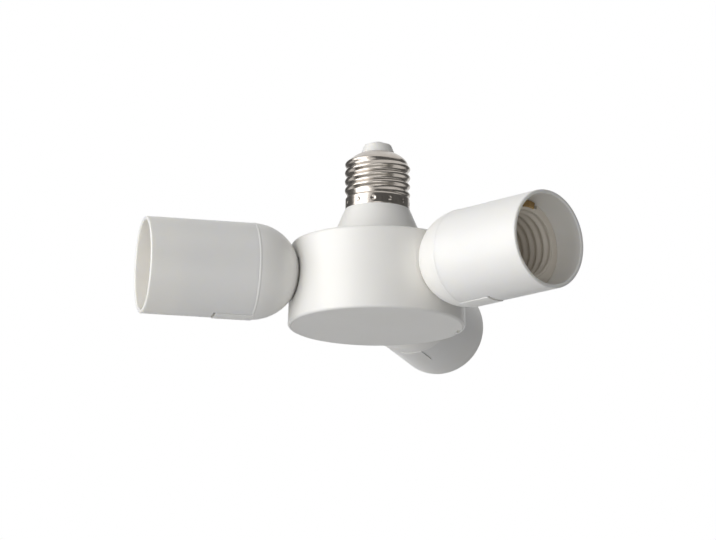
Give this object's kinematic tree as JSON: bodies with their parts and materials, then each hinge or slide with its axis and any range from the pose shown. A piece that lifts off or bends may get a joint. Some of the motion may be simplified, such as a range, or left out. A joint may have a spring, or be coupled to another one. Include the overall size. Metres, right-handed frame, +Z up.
{
  "type": "lamp socket adapter",
  "caption": "White lamp socket adapter: a round hub with a metal screw cap on top and radial swivelling lamp holders that turn and tilt on round dome ends.",
  "frame": {"origin": "centre of the hub's flat underside", "axes": "+Z up along the screw cap, -X along the first lamp holder"},
  "size_m": [0.1596, 0.184, 0.0763],
  "materials": {
    "white_housing": "satin injection-moulded white plastic",
    "insert_plastic": "heat-proof moulded plastic, warm white",
    "arm_plastic": "moulded white plastic",
    "nickel_shell": "rolled thread, nickel plated",
    "tin_contact": "tinned contact button",
    "brass": "stamped spring brass",
    "brass_rivet": "headed brass rivet",
    "steel": "stamped steel",
    "splice_sleeve": "crimped insulated sleeve",
    "lead_brown": "insulated lead",
    "lead_blue": "insulated lead"
  },
  "bodies": {
    "hub": {"hub_body": "white_housing", "bottom_cover": "white_housing", "screw_shell": "nickel_shell", "tip_contact": "tin_contact", "live_splice": "splice_sleeve", "neutral_splice": "splice_sleeve", "cap_live_lead": "lead_brown", "cap_neutral_lead": "lead_blue", "hub_live_lead_1": "lead_brown", "hub_neutral_lead_1": "lead_blue", "hub_live_lead_2": "lead_brown", "hub_neutral_lead_2": "lead_blue", "hub_live_lead_3": "lead_brown", "hub_neutral_lead_3": "lead_blue"},
    "arm_1": {"swivel_arm_1": "arm_plastic", "stop_washer_1": "steel", "retaining_ring_1": "steel"},
    "holder_1": {"dome_cap_1": "white_housing", "sleeve_1": "white_housing", "lamp_insert_1": "insert_plastic", "side_contact_1": "brass", "centre_contact_1": "brass", "contact_rivets_1": "brass_rivet", "holder_live_lead_1": "lead_brown", "holder_neutral_lead_1": "lead_blue"},
    "arm_2": {"swivel_arm_2": "arm_plastic", "stop_washer_2": "steel", "retaining_ring_2": "steel"},
    "holder_2": {"dome_cap_2": "white_housing", "sleeve_2": "white_housing", "lamp_insert_2": "insert_plastic", "side_contact_2": "brass", "centre_contact_2": "brass", "contact_rivets_2": "brass_rivet", "holder_live_lead_2": "lead_brown", "holder_neutral_lead_2": "lead_blue"},
    "arm_3": {"swivel_arm_3": "arm_plastic", "stop_washer_3": "steel", "retaining_ring_3": "steel"},
    "holder_3": {"dome_cap_3": "white_housing", "sleeve_3": "white_housing", "lamp_insert_3": "insert_plastic", "side_contact_3": "brass", "centre_contact_3": "brass", "contact_rivets_3": "brass_rivet", "holder_live_lead_3": "lead_brown", "holder_neutral_lead_3": "lead_blue"}
  },
  "joints": [
    {"name": "turn_1", "type": "hinge", "parent": "hub", "child": "arm_1", "pos_m": [-0.028, 0, 0.0196], "axis": [-1, 0, 0], "range_deg": [-165, 165]},
    {"name": "tilt_1", "type": "hinge", "parent": "arm_1", "child": "holder_1", "pos_m": [-0.0515, 0, 0.0196], "axis": [0, 1, 0], "range_deg": [0, 60]},
    {"name": "turn_2", "type": "hinge", "parent": "hub", "child": "arm_2", "pos_m": [0.014, -0.02425, 0.0196], "axis": [0.5, -0.866, 0], "range_deg": [-165, 165]},
    {"name": "tilt_2", "type": "hinge", "parent": "arm_2", "child": "holder_2", "pos_m": [0.02575, -0.0446, 0.0196], "axis": [-0.866, -0.5, 0], "range_deg": [0, 60]},
    {"name": "turn_3", "type": "hinge", "parent": "hub", "child": "arm_3", "pos_m": [0.014, 0.02425, 0.0196], "axis": [0.5, 0.866, 0], "range_deg": [-165, 165]},
    {"name": "tilt_3", "type": "hinge", "parent": "arm_3", "child": "holder_3", "pos_m": [0.02575, 0.0446, 0.0196], "axis": [0.866, -0.5, 0], "range_deg": [0, 60]}
  ]
}
